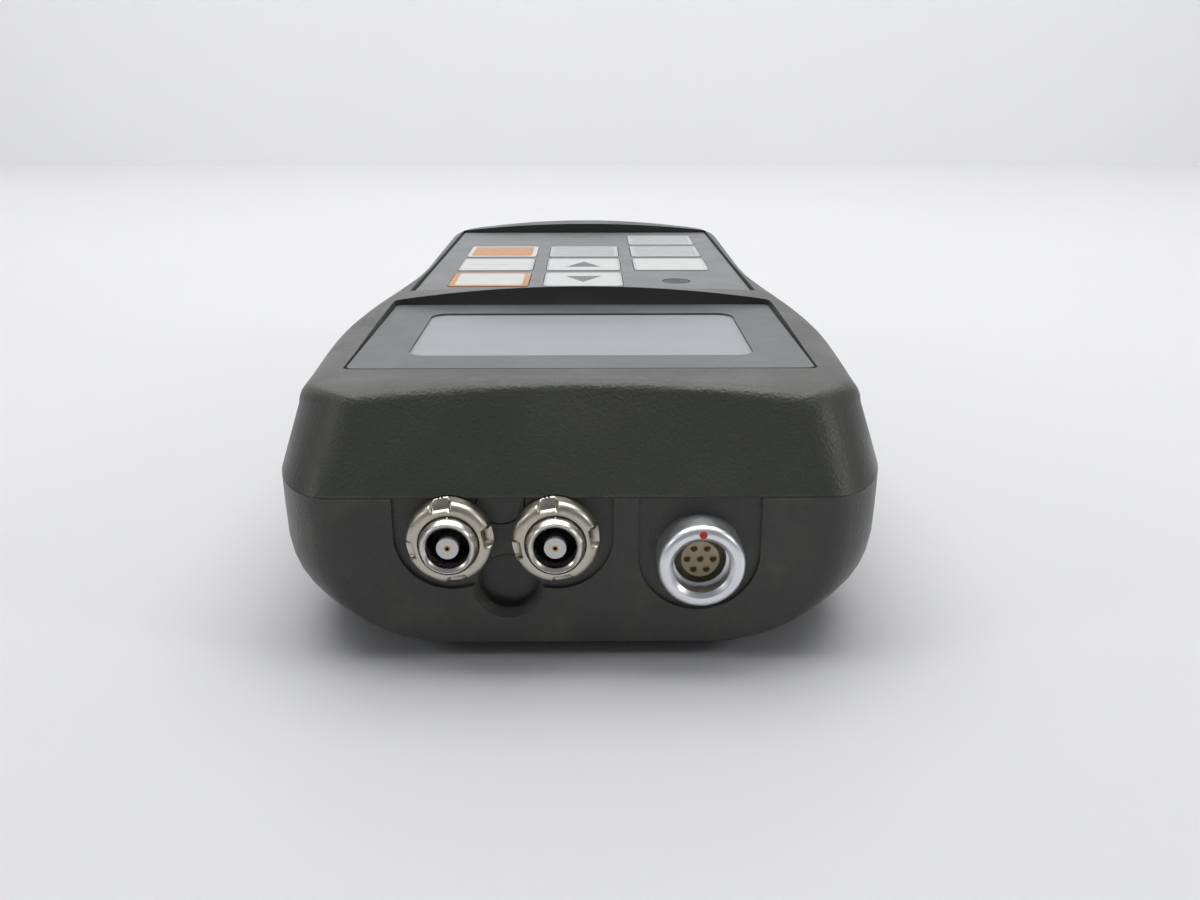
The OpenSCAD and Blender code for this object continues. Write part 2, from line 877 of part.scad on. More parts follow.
module keypad_connector() {
    socket_w = tail_w + 2 * tail_socket_side;
    color("ivory")
        placed()
            difference() {
                translate([-socket_w / 2, tail_at - tail_socket_l / 2, board_top])
                    cube([socket_w, tail_socket_l, tail_socket_h]);
                translate([-tail_w / 2 - fit_gap, tail_at - fit_gap, board_top + tail_seat])
                    cube([tail_w + 2 * fit_gap, tail_t + 2 * fit_gap, tail_socket_h]);
            }
}

// Keypad: film with an opening for each key, spacer, circuit with its tail, domes and keys
module keypad_overlay() {
    color("gray")
        placed()
            translate([0, 0, film_z])
                linear_extrude(film_t)
                    difference() {
                        keypad_outline(panel_gap);
                        for (key = KEYS)
                            at_key(key)
                                rounded_plate(key_w + 2 * key_gap, key_l + 2 * key_gap, key_corner_r);
                        translate([key_pitch_x, led_at])
                            circle(d = lens_d + 2 * key_gap);
                    }
}

module keypad_spacer() {
    color("white")
        placed()
            translate([0, 0, circuit_top])
                linear_extrude(dome_h)
                    difference() {
                        keypad_outline(panel_gap);
                        for (key = KEYS)
                            at_key(key)
                                rounded_plate(key_w + 2 * key_gap, key_l + 2 * key_gap, key_corner_r);
                        translate([key_pitch_x, led_at])
                            circle(d = lens_d + 2 * key_gap);
                    }
}

module keypad_circuit() {
    color("gold")
        placed()
            difference() {
                union() {
                    translate([0, 0, recess_z])
                        linear_extrude(circuit_t)
                            keypad_outline(panel_gap);
                    translate([-tail_w / 2, tail_at, board_top + tail_seat])
                        cube([tail_w, tail_t, circuit_top - board_top - tail_seat]);
                }
                translate([key_pitch_x, led_at, recess_z - overrun])
                    cylinder(d = lens_d + 2 * key_gap, h = case_h);
            }
}

module key_cap(key) {
    color(key[4])
        placed()
            at_key(key)
                translate([0, 0, film_z])
                    linear_extrude(film_t + key_proud)
                        rounded_plate(key_w, key_l, key_corner_r);
}

// A thin shallow dome that stands on the circuit and touches the key above it
module snap_dome(key) {
    r = dome_d / 2;
    profile_shares = [[1, 0], [0.75, 0.55], [0.4, 0.9], [0, 1]];
    inside = [for (k = [len(profile_shares) - 1 : -1 : 0])
        [profile_shares[k][0] * (r - dome_t), profile_shares[k][1] * (dome_h - dome_t)]];
    color("silver")
        placed()
            at_key(key)
                translate([0, 0, circuit_top])
                    rotate_extrude()
                        polygon(concat(
                            [for (share = profile_shares) [share[0] * r, share[1] * dome_h]],
                            inside
                        ));
}

module indicator_lens() {
    color("black")
        placed()
            translate([key_pitch_x, led_at, recess_z])
                cylinder(d = lens_d, h = recess);
}

module indicator_led() {
    color("red")
        placed()
            translate([key_pitch_x, led_at, board_top])
                cylinder(d = led_d, h = recess_z - fit_gap - board_top);
}

// Coaxial sockets
module coax_socket(x) {
    thread_r = coax_thread_d / 2;
    step_r = thread_r - coax_step;
    flange_r = thread_r + flange_up;
    bore_r = coax_bore_d / 2;
    tail_r = bore_r + coax_tail_wall;
    length = upright_at + coax_proud;
    flange_at = coax_proud + end_wall;
    color("silver")
        placed()
            along_case(x, -coax_proud, coax_z)
                rotate_extrude()
                    polygon([
                        [bore_r + coax_bevel, 0], [step_r - coax_bevel, 0], [step_r, coax_bevel],
                        [step_r, coax_step_l], [thread_r, coax_step_l + coax_bevel],
                        [thread_r, flange_at], [flange_r, flange_at],
                        [flange_r, flange_at + flange_t], [tail_r, flange_at + flange_t],
                        [tail_r, length], [bore_r, length], [bore_r, coax_bevel]
                    ]);
}

module coax_nut(x) {
    nut_r = coax_nut_d / 2;
    hole_r = coax_thread_d / 2 + screw_play / 2;
    nut_l = coax_proud + panel_recess - coax_nut_front;
    color("silver")
        placed()
            along_case(x, coax_nut_front - coax_proud, coax_z)
                difference() {
                    rotate_extrude()
                        polygon(concat(
                            [[hole_r, 0]], round_edge(nut_r, coax_nut_round),
                            [[nut_r, nut_l], [hole_r, nut_l]]
                        ));
                    for (k = [0 : 3])
                        rotate([0, 0, slot_turn + 90 * k])
                            translate([nut_r - slot_depth, -slot_w / 2, -overrun])
                                cube([slot_depth + overrun, slot_w, overrun + nut_l / 2]);
                }
}

module coax_insulator(x) {
    slim_r = coax_insulator_d / 2;
    base_r = coax_bore_d / 2;
    hole_r = pin_d / 2;
    length = upright_at + coax_proud;
    color("white")
        placed()
            along_case(x, -coax_proud, coax_z)
                rotate_extrude()
                    polygon([
                        [hole_r, coax_pin_front], [slim_r, coax_pin_front],
                        [slim_r, coax_bore_depth], [base_r, coax_bore_depth],
                        [base_r, length], [hole_r, length]
                    ]);
}

module coax_contact(x) {
    length = upright_at + board_t + pin_tail + coax_proud - coax_pin_front;
    color("goldenrod")
        placed()
            along_case(x, coax_pin_front - coax_proud, coax_z)
                difference() {
                    cylinder(d = pin_d, h = length);
                    translate([0, 0, -overrun])
                        cylinder(d = pin_hole_d, h = pin_hole_depth + overrun);
                }
}

// Data socket
module data_socket() {
    thread_l = data_proud + end_wall + nut_t + thread_spare;
    ring_l = data_proud + panel_recess;
    ring_r = data_ring_d / 2;
    bore_r = data_bore_d / 2;
    thread_r = data_thread_d / 2;
    tail_r = thread_r - data_tail_step;
    length = upright_at + data_proud;
    color("lightgray")
        placed()
            difference() {
                along_case(data_x, -data_proud, data_z)
                    rotate_extrude()
                        polygon(concat(
                            [[bore_r + data_mouth, 0]], round_edge(ring_r, data_round),
                            [
                                [ring_r, ring_l], [thread_r, ring_l], [thread_r, thread_l],
                                [tail_r, thread_l], [tail_r, length],
                                [bore_r - data_step, length], [bore_r - data_step, data_depth],
                                [bore_r, data_depth], [bore_r, data_mouth]
                            ]
                        ));
                along_case(data_x, -data_proud - overrun, data_z + dot_up)
                    cylinder(d = dot_d, h = overrun + dot_depth);
            }
}

module data_nut() {
    color("silver")
        placed()
            along_case(data_x, end_wall, data_z)
                difference() {
                    cylinder(r = data_thread_d / 2 + nut_rim, h = nut_t, $fn = 6);
                    translate([0, 0, -overrun])
                        cylinder(d = data_thread_d + screw_play, h = nut_t + 2 * overrun);
                }
}

module data_insert() {
    base_at = data_depth + data_slim_l;
    color("wheat")
        placed()
            difference() {
                along_case(data_x, -data_proud, data_z)
                    rotate_extrude()
                        polygon([
                            [0, data_depth], [data_insert_d / 2, data_depth],
                            [data_insert_d / 2, base_at], [data_bore_d / 2 - data_step, base_at],
                            [data_bore_d / 2 - data_step, upright_at + data_proud],
                            [0, upright_at + data_proud]
                        ]);
                at_data_contacts()
                    along_case(0, -data_proud, 0)
                        cylinder(d = pin_d, h = upright_at + data_proud + overrun);
            }
}

// One contact in the middle and six round it
module at_data_contacts() {
    ring_r = data_insert_d * contact_ring_share;
    translate([data_x, 0, data_z])
        children();
    for (k = [0 : 5])
        translate([data_x + ring_r * cos(60 * k), 0, data_z + ring_r * sin(60 * k)])
            children();
}

module data_contacts() {
    color("goldenrod")
        placed()
            at_data_contacts()
                along_case(0, data_depth + contact_back - data_proud, 0)
                    cylinder(
                        d = pin_d,
                        h = upright_at + board_t + pin_tail + data_proud - data_depth - contact_back
                    );
}

module data_index_dot() {
    color("red")
        placed()
            along_case(data_x, -data_proud, data_z + dot_up)
                cylinder(d = dot_d, h = dot_depth);
}

// Batteries: the left cell's button points to the back, the right cell's to the front
module cell() {
    r = cell_d / 2;
    rotate([-90, 0, 0])
        rotate_extrude()
            polygon([
                [0, 0], [r - cell_rim, 0], [r, cell_rim], [r, cell_l - cell_rim], [r - cell_rim, cell_l],
                [button_d / 2, cell_l], [button_d / 2, cell_l + button_l], [0, cell_l + button_l]
            ]);
}

module cell_left() {
    color("goldenrod")
        placed()
            translate([-cell_x, box_at + leaf_reach + cell_play / 2, cell_z])
                cell();
}

module cell_right() {
    color("goldenrod")
        placed()
            translate([cell_x, box_end - leaf_reach - cell_play / 2, cell_z])
                rotate([0, 0, 180])
                    cell();
}

// A folded leaf on its wall, pressing on the flat end of a cell
module leaf() {
    translate([-contact_w / 2, 0, 0])
        rotate([90, 0, 90])
            linear_extrude(contact_w)
                polygon([
                    [0, -contact_h / 2], [contact_t, -contact_h / 2], [contact_t, contact_h / 2 - contact_t],
                    [leaf_reach - contact_t, 0], [leaf_reach, 0], [contact_t, contact_h / 2],
                    [0, contact_h / 2]
                ]);
}

module battery_leaves() {
    color("silver")
        placed() {
            translate([-cell_x, box_at, cell_z])
                leaf();
            translate([cell_x, box_end, cell_z])
                rotate([0, 0, 180])
                    leaf();
        }
}

module battery_plates() {
    color("silver")
        placed() {
            translate([cell_x - contact_w / 2, box_at, cell_z - contact_h / 2])
                cube([contact_w, contact_t, contact_h]);
            translate([-cell_x - contact_w / 2, box_end - contact_t, cell_z - contact_h / 2])
                cube([contact_w, contact_t, contact_h]);
        }
}

// Screws, with a hexagon socket in each head
module screw(thread_d, length, head_d, head_h) {
    difference() {
        union() {
            cylinder(d = thread_d, h = length);
            translate([0, 0, -head_h])
                cylinder(d = head_d, h = head_h);
        }
        translate([0, 0, -head_h - overrun])
            cylinder(d = thread_d * socket_share, h = overrun + socket_depth, $fn = 6);
    }
}

module case_screws() {
    color("dimgray")
        placed()
            at_case_screws()
                translate([0, 0, screw_seat_z])
                    screw(case_screw_d, case_screw_end - screw_seat_z, case_head_d, case_head_h);
}

module board_screws() {
    color("silver")
        placed()
            at_board_screws()
                translate([0, 0, board_top - board_t])
                    screw(board_screw_d, board_screw_l, board_head_d, board_head_h);
}

upper_shell();
lower_shell();
battery_door();
display_window();
display_overlay();
lcd_glass();
lcd_frame();
lcd_strips();
backlight_panel();
main_board();
main_chips();
connector_board();
board_header();
keypad_overlay();
keypad_spacer();
keypad_circuit();
keypad_connector();
for (key = KEYS) key_cap(key);
for (key = KEYS) snap_dome(key);
indicator_lens();
indicator_led();
coax_socket(-coax_left_x);  // coax_socket_left
coax_socket(coax_pitch - coax_left_x);  // coax_socket_right
coax_nut(-coax_left_x);  // coax_nut_left
coax_nut(coax_pitch - coax_left_x);  // coax_nut_right
coax_insulator(-coax_left_x);  // coax_insulator_left
coax_insulator(coax_pitch - coax_left_x);  // coax_insulator_right
coax_contact(-coax_left_x);  // coax_contact_left
coax_contact(coax_pitch - coax_left_x);  // coax_contact_right
data_socket();
data_nut();
data_insert();
data_contacts();
data_index_dot();
cell_left();
cell_right();
battery_leaves();
battery_plates();
case_screws();
board_screws();
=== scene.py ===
import json
import math

import bmesh
import bpy
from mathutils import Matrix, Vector


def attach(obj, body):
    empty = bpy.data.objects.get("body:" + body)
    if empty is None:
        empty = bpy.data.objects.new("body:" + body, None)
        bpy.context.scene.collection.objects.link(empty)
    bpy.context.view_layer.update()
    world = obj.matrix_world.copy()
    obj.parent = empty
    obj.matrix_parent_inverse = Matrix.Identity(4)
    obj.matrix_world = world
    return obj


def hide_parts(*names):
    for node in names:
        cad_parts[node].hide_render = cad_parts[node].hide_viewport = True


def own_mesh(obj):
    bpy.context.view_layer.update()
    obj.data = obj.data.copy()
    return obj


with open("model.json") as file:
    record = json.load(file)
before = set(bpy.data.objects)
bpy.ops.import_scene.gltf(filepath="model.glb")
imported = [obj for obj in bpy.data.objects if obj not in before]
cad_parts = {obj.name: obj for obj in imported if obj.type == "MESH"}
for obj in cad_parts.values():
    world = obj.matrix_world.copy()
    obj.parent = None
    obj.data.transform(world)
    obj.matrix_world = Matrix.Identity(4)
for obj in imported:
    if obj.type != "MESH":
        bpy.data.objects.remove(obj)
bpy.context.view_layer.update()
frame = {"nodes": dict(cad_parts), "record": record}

# Metres per millimetre, and the places and sizes on the gauge that its materials and copies need
MM = 0.001
FRONT_Y = -71.1 * MM
PARTING_Z = 20.7 * MM
COAX_CENTRES = ((-14.9 * MM, 15.9 * MM), (-2.8 * MM, 15.9 * MM))
COAX_BORE_R = 2.5 * MM
COAX_NUT_BORE_R = 3.7 * MM
COAX_NUT_R = 4.75 * MM
INSULATOR_R = 1.28 * MM
DATA_CENTRE = (13.75 * MM, 13.6 * MM)
KEY_PITCH_X = 16.6 * MM
KEY_PITCH_Y = 15.7 * MM
FIRST_KEY_Y = FRONT_Y + 78.8 * MM
KEY_HALF_W = 7 * MM
KEY_HALF_L = 6.6 * MM
PANEL_Z = 31.1 * MM
INSULATOR_Y = FRONT_Y - 3.2 * MM

# Size and depth of the fine texture on printed films and keys
FILM_GRAIN = 0.12 * MM
FILM_DEPTH = 0.012 * MM

MEMBERS = frame["record"]["behaviour"]["bodies"]
BODY_OF = {node: body for body, nodes in MEMBERS.items() for node in nodes}
SLOT_OF = {part["node"]: part["material_slot"] for part in frame["record"]["subparts"]}


class Shade:
    """A principled material, with short names for the nodes that build its detail."""

    def __init__(self, name, color, roughness, metallic=0.0, specular=0.5):
        self.material = bpy.data.materials.new(name)
        self.material.use_nodes = True
        self.nodes = self.material.node_tree.nodes
        self.links = self.material.node_tree.links
        self.shader = self.nodes["Principled BSDF"]
        self.shader.inputs["Base Color"].default_value = (*color, 1)
        self.shader.inputs["Roughness"].default_value = roughness
        self.shader.inputs["Metallic"].default_value = metallic
        self.shader.inputs["Specular IOR Level"].default_value = specular
        self.place = self.nodes.new("ShaderNodeTexCoord").outputs["Object"]
        split = self.nodes.new("ShaderNodeSeparateXYZ")
        self.links.new(self.place, split.inputs[0])
        self.x = split.outputs[0]
        self.y = split.outputs[1]
        self.z = split.outputs[2]

    def feed(self, socket, value):
        """Sets a socket to a number or colour, or links an output to it."""
        if isinstance(value, bpy.types.NodeSocket):
            self.links.new(value, socket)
        else:
            socket.default_value = value

    def set(self, name, value):
        """Sets or links one of the shader's own inputs."""
        self.feed(self.shader.inputs[name], value)

    def base_color(self):
        """The output that is linked to the shader's colour so far."""
        return self.shader.inputs["Base Color"].links[0].from_socket

    def math(self, operation, first, second=0.0, clamp=False):
        """One step of arithmetic, with its result held from 0 to 1 if clamp is set."""
        node = self.nodes.new("ShaderNodeMath")
        node.operation = operation
        node.use_clamp = clamp
        self.feed(node.inputs[0], first)
        self.feed(node.inputs[1], second)
        return node.outputs[0]

    def noise(self, size, detail=3.0, rough=0.5, stretch=None):
        """Noise with features of about this size in metres, from 0 to 1."""
        node = self.nodes.new("ShaderNodeTexNoise")
        node.inputs["Scale"].default_value = 1 / size
        node.inputs["Detail"].default_value = detail
        node.inputs["Roughness"].default_value = rough
        self.feed(node.inputs["Vector"], self.stretched(stretch) if stretch else self.place)
        return node.outputs["Fac"]

    def stretched(self, factors):
        """The place, multiplied on each axis."""
        node = self.nodes.new("ShaderNodeVectorMath")
        node.operation = "MULTIPLY"
        self.links.new(self.place, node.inputs[0])
        node.inputs[1].default_value = factors
        return node.outputs[0]

    def cells(self, size, feature="F1"):
        """Distance in a pattern of rounded cells of about this size in metres."""
        node = self.nodes.new("ShaderNodeTexVoronoi")
        node.feature = feature
        node.inputs["Scale"].default_value = 1 / size
        self.links.new(self.place, node.inputs["Vector"])
        return node.outputs["Distance"]

    def remap(self, value, low, high, out_low=0.0, out_high=1.0):
        """A smooth step from out_low, at low and below, to out_high, at high and above."""
        node = self.nodes.new("ShaderNodeMapRange")
        node.interpolation_type = "SMOOTHSTEP"
        self.feed(node.inputs["Value"], value)
        node.inputs["From Min"].default_value = low
        node.inputs["From Max"].default_value = high
        node.inputs["To Min"].default_value = out_low
        node.inputs["To Max"].default_value = out_high
        return node.outputs["Result"]

    def mix(self, factor, first, second):
        """A blend of two colours or outputs: first at 0, second at 1."""
        node = self.nodes.new("ShaderNodeMix")
        node.data_type = "RGBA"
        self.feed(node.inputs[0], factor)
        self.feed(node.inputs[6], first if isinstance(first, bpy.types.NodeSocket) else (*first, 1))
        self.feed(node.inputs[7], second if isinstance(second, bpy.types.NodeSocket) else (*second, 1))
        return node.outputs[2]

    def bump(self, height, depth, strength=1.0, under=None):
        """Bumps as deep as depth in metres, on top of another bump if one is given."""
        node = self.nodes.new("ShaderNodeBump")
        node.inputs["Strength"].default_value = strength
        node.inputs["Distance"].default_value = depth
        self.links.new(height, node.inputs["Height"])
        if under:
            self.links.new(under, node.inputs["Normal"])
        self.links.new(node.outputs[0], self.shader.inputs["Normal"])
        return node.outputs[0]

    def length(self, first, second):
        """Length of a flat vector with these two parts."""
        square = self.math("ADD", self.math("MULTIPLY", first, first), self.math("MULTIPLY", second, second))
        return self.math("SQRT", square)

    def radius(self, centre):
        """Distance from a line along Y through centre, given as x and z."""
        across = self.math("SUBTRACT", self.x, centre[0])
        up = self.math("SUBTRACT", self.z, centre[1])
        return self.length(across, up)

    def near_coax(self, inner, outer):
        """1 up to the inner radius round either coaxial socket's axis, 0 from the outer one on."""
        near = [self.remap(self.radius(centre), inner, outer, 1, 0) for centre in COAX_CENTRES]
        return self.math("MAXIMUM", near[0], near[1])

    def spot(self, centre, reach):
        """1 at a point and 0 from reach metres on, with a ragged edge."""
        node = self.nodes.new("ShaderNodeVectorMath")
        node.operation = "DISTANCE"
        self.links.new(self.place, node.inputs[0])
        node.inputs[1].default_value = centre
        ragged = self.math("MULTIPLY", self.noise(reach / 2), reach)
        return self.remap(self.math("ADD", node.outputs["Value"], ragged), reach, reach * 1.3, 1, 0)


def case_color(shade, dark_green):
    """Olive grey with faint patches, dust low on the front, dirt beside the seam, painted shade along the
    seam gap and two bare scuffs.
    """
    light_green = (0.042, 0.045, 0.039)
    front_dust = (0.13, 0.105, 0.075)
    seam_dust = (0.15, 0.12, 0.085)
    painted_seam_shade = (0.01, 0.01, 0.009)
    bare_scratch = (0.5, 0.49, 0.45)
    patches = shade.noise(30 * MM, 4)
    grime = shade.noise(5 * MM, 5, 0.6)
    color = shade.mix(shade.remap(patches, 0.3, 0.7), dark_green, light_green)
    near_front = shade.remap(shade.y, FRONT_Y + 0.3 * MM, FRONT_Y + 2.5 * MM, 1, 0)
    under_seam = shade.remap(shade.z, PARTING_Z - 0.2 * MM, PARTING_Z + 0.2 * MM, 1, 0)
    low_grime = shade.math("MULTIPLY", under_seam, shade.remap(grime, 0.45, 0.75))
    dusty = shade.math("MULTIPLY", near_front, low_grime)
    color = shade.mix(shade.math("MULTIPLY", dusty, 0.22), color, front_dust)
    from_seam = shade.math("ABSOLUTE", shade.math("SUBTRACT", shade.z, PARTING_Z))
    beside_seam = shade.remap(from_seam, 0.05 * MM, 0.45 * MM, 1, 0)
    dirty = shade.math("MULTIPLY", beside_seam, shade.remap(grime, 0.4, 0.65))
    color = shade.mix(shade.math("MULTIPLY", dirty, 0.3), color, seam_dust)
    # Painted shade: a dark line along the parting seam stands in for the shade in the gap between the
    # shells.
    in_seam = shade.remap(from_seam, 0.06 * MM, 0.14 * MM, 0.75, 0)
    color = shade.mix(in_seam, color, painted_seam_shade)
    front_scuff = shade.spot((-24 * MM, FRONT_Y + 0.5 * MM, PARTING_Z - 0.2 * MM), 0.5 * MM)
    ridge_scuff = shade.spot((27.5 * MM, FRONT_Y + 63 * MM, 32.2 * MM), 0.6 * MM)
    scuffs = shade.math("ADD", front_scuff, ridge_scuff, True)
    return shade.mix(shade.math("MULTIPLY", scuffs, 0.5), color, bare_scratch)


def leather_grain(shade):
    """Uneven pebbles with a finer texture on them."""
    pebble_size = 0.36 * MM
    pebble_depth = 0.09 * MM
    fine_size = 0.14 * MM
    fine_depth = 0.015 * MM
    uneven = shade.math("MULTIPLY", shade.noise(0.22 * MM, 2), 0.6)
    pebbles = shade.math("ADD", shade.cells(pebble_size, "SMOOTH_F1"), uneven)
    leather = shade.bump(pebbles, pebble_depth, 0.55)
    shade.bump(shade.noise(fine_size, 2), fine_depth, 0.5, leather)


def case_plastic():
    """Dark olive grey moulded plastic with a leather grain and uneven gloss."""
    dark_green = (0.034, 0.037, 0.031)
    shade = Shade("case_plastic", dark_green, 0.4)
    shade.set("Base Color", case_color(shade, dark_green))
    shade.set("Roughness", shade.remap(shade.noise(9 * MM, 4), 0.3, 0.7, 0.34, 0.46))
    shade.set("Sheen Weight", 0.08)
    shade.set("Sheen Roughness", 0.45)
    shade.set("Sheen Tint", (0.92, 0.95, 0.88, 1))
    leather_grain(shade)
    return shade.material


def overlay_film(name, color):
    """Satin printed film with a fine texture and faint rub marks."""
    shade = Shade(name, color, 0.4, 0.0, 0.4)
    rubbed = shade.noise(11 * MM, 5, 0.6)
    lighter = tuple(1.12 * part for part in color)
    shade.set("Base Color", shade.mix(shade.remap(rubbed, 0.35, 0.75), color, lighter))
    shade.set("Roughness", shade.remap(rubbed, 0.3, 0.7, 0.34, 0.46))
    shade.bump(shade.noise(FILM_GRAIN, 2), FILM_DEPTH, 0.5)
    return shade.material


def key_centre(column, row):
    """Middle of a key, given as x and y."""
    return (column * KEY_PITCH_X, FIRST_KEY_Y + row * KEY_PITCH_Y)


def triangle(shade, run, wide):
    """1 inside a triangle that widens along run, 0 outside it."""
    half_l = 3 * MM
    half_w = 3.4 * MM
    blur = 0.08 * MM
    share = shade.math("DIVIDE", shade.math("ADD", run, half_l), 2 * half_l, True)
    slack = shade.math("SUBTRACT", shade.math("MULTIPLY", share, half_w), wide)
    end = shade.math("SUBTRACT", half_l, run)
    return shade.remap(shade.math("MINIMUM", slack, end), 0, blur)


def thin_line(shade, wide, long):
    """0.7 on a thin line across the key, 0 off it."""
    half_l = 5.2 * MM
    half_w = 0.1 * MM
    blur = 0.06 * MM
    away = shade.math("MAXIMUM", long, shade.math("SUBTRACT", wide, half_l))
    return shade.remap(away, half_w, half_w + blur, 0.7, 0)


def key_face(name, place, fill, border, border_w, symbol):
    """A printed key: a border, a fill and perhaps a triangle or a line, each drawn from distances."""
    ink = (0.09, 0.093, 0.097)
    rubbed_print = (0.45, 0.45, 0.43)
    corner = 0.8 * MM
    shade = Shade(name, fill, 0.36)
    along = shade.math("SUBTRACT", shade.y, place[1])
    wide = shade.math("ABSOLUTE", shade.math("SUBTRACT", shade.x, place[0]))
    long = shade.math("ABSOLUTE", along)
    past_w = shade.math("MAXIMUM", shade.math("SUBTRACT", wide, KEY_HALF_W - border_w - corner), 0)
    past_l = shade.math("MAXIMUM", shade.math("SUBTRACT", long, KEY_HALF_L - border_w - corner), 0)
    past = shade.length(past_w, past_l)
    inside = shade.remap(past, corner - 0.05 * MM, corner + 0.05 * MM, 1, 0)
    color = shade.mix(inside, border, fill)
    if symbol == "toward":
        color = shade.mix(triangle(shade, along, wide), color, ink)
    if symbol == "away":
        color = shade.mix(triangle(shade, shade.math("MULTIPLY", along, -1), wide), color, ink)
    if symbol == "line":
        color = shade.mix(thin_line(shade, wide, long), color, ink)
    worn = shade.noise(4 * MM, 5, 0.65)
    color = shade.mix(shade.remap(worn, 0.55, 0.85, 0, 0.3), color, rubbed_print)
    shade.set("Base Color", color)
    shade.set("Roughness", shade.remap(worn, 0.3, 0.7, 0.3, 0.42))
    pressed_rim = shade.remap(past, corner - 0.5 * MM, corner)
    embossed = shade.bump(pressed_rim, 0.12 * MM, 0.6)
    shade.bump(shade.noise(FILM_GRAIN, 2), FILM_DEPTH, 0.5, embossed)
    return shade.material


def metal(name, color, roughness, spread=0.08, tarnish=(0.2, 0.15, 0.09), tarnish_share=0.25):
    """Plated metal with fine turning marks, uneven gloss and a little tarnish."""
    shade = Shade(name, color, roughness, 1.0)
    uneven = shade.noise(1.6 * MM, 5, 0.6)
    shade.set("Base Color", shade.mix(shade.remap(uneven, 0.55, 0.85, 0, tarnish_share), color, tarnish))
    shade.set("Roughness", shade.remap(uneven, 0.25, 0.75, roughness - spread, roughness + spread))
    marks = shade.noise(0.3 * MM, 3, 0.5, (1, 6, 1))
    shade.bump(marks, 0.01 * MM, 0.4)
    return shade


def nickel_nut():
    """Nickel ring nut, with brown dirt low in its slots."""
    brown_dirt = (0.1, 0.07, 0.04)
    slot_floor_y = FRONT_Y - 1.05 * MM
    shade = metal("nickel", (0.56, 0.535, 0.46), 0.34)
    sunk = shade.remap(shade.y, slot_floor_y, slot_floor_y + 0.2 * MM)
    dirty = shade.math("MULTIPLY", shade.near_coax(COAX_NUT_BORE_R, COAX_NUT_R), sunk)
    shade.set("Base Color", shade.mix(shade.math("MULTIPLY", dirty, 0.8), shade.base_color(), brown_dirt))
    return shade.material


def nickel_socket():
    """Nickel socket, with painted shade deep inside its bore."""
    painted_bore_shade = (0.02, 0.02, 0.022)
    wall_r = COAX_BORE_R + 0.02 * MM
    shade = metal("nickel_socket", (0.68, 0.655, 0.59), 0.3)
    # Painted shade: deep in the bore the wall turns dark and non-metallic, where the bore would be in shade.
    deep = shade.remap(shade.y, FRONT_Y - 3 * MM, FRONT_Y - 1 * MM)
    inside = shade.math("MULTIPLY", shade.near_coax(wall_r, wall_r + 0.08 * MM), deep)
    shade.set("Base Color", shade.mix(inside, shade.base_color(), painted_bore_shade))
    shade.set("Metallic", shade.math("SUBTRACT", 1, inside))
    return shade.material


def fluoropolymer():
    """White insulator with painted shade along its sides and where it fills the bottom of its bore."""
    white = (0.78, 0.78, 0.76)
    stained = (0.5, 0.46, 0.4)
    painted_bore_shade = (0.012, 0.012, 0.014)
    shade = Shade("ptfe", white, 0.38)
    # Painted shade: past the insulator's radius, and from just behind its front face on, it is darkened to
    # near black, where the bore shades it.
    near = [shade.radius(centre) for centre in COAX_CENTRES]
    nearest = shade.math("MINIMUM", near[0], near[1])
    outside = shade.remap(nearest, INSULATOR_R, INSULATOR_R + 0.12 * MM)
    stain = shade.remap(shade.noise(0.6 * MM, 4), 0.5, 0.8, 0, 0.25)
    color = shade.mix(stain, white, stained)
    inner = shade.remap(shade.y, INSULATOR_Y + 0.1 * MM, INSULATOR_Y + 0.9 * MM)
    shaded = shade.math("MAXIMUM", outside, shade.math("MULTIPLY", inner, 0.92))
    shade.set("Base Color", shade.mix(shaded, color, painted_bore_shade))
    shade.bump(shade.noise(0.2 * MM, 2), 0.01 * MM, 0.4)
    return shade.material


def satin_shell():
    """Satin chrome shell of the data socket, with turning marks round its axis."""
    shade = metal("matte_chrome", (0.86, 0.87, 0.9), 0.36, 0.06, (0.6, 0.59, 0.58), 0.2)
    radians_per_metre = 30000
    rings = shade.math("SINE", shade.math("MULTIPLY", shade.radius(DATA_CENTRE), radians_per_metre))
    shade.bump(rings, 0.004 * MM, 0.35)
    return shade.material


def plain_plastic(name, color, roughness, grain=0.25 * MM):
    """Moulded plastic or film with a fine texture and slight shade changes."""
    shade = Shade(name, color, roughness)
    patches = shade.noise(4 * MM, 4)
    darker = tuple(0.82 * part for part in color)
    shade.set("Base Color", shade.mix(shade.remap(patches, 0.35, 0.7), color, darker))
    shade.set("Roughness", shade.remap(patches, 0.3, 0.7, roughness - 0.06, roughness + 0.06))
    shade.bump(shade.noise(grain, 3), 0.02 * MM, 0.5)
    return shade.material


def circuit_board():
    """Green solder mask over a pattern of copper tracks, darker in patches."""
    mask = (0.01, 0.07, 0.025)
    over_copper = (0.03, 0.14, 0.05)
    dark_patch = (0.01, 0.05, 0.03)
    pattern_size = 6 * MM
    shade = Shade("board", mask, 0.32)
    tracks = shade.nodes.new("ShaderNodeTexBrick")
    tracks.inputs["Scale"].default_value = 1 / pattern_size
    tracks.inputs["Mortar Size"].default_value = 0.03
    shade.links.new(shade.place, tracks.inputs["Vector"])
    color = shade.mix(tracks.outputs["Fac"], mask, over_copper)
    patches = shade.remap(shade.noise(8 * MM), 0.4, 0.7, 0, 0.3)
    shade.set("Base Color", shade.mix(patches, color, dark_patch))
    shade.bump(tracks.outputs["Fac"], 0.03 * MM, 0.5)
    return shade.material


def clear_window():
    """Hard-coated clear window with faint wiping marks."""
    shade = Shade("clear_window", (0.375, 0.392, 0.402), 0.34, 0.0, 0.3)
    shade.set("Alpha", 0.8)
    wiped = shade.noise(14 * MM, 6, 0.7, (1, 3, 1))
    shade.set("Roughness", shade.remap(wiped, 0.35, 0.75, 0.3, 0.38))
    return shade.material


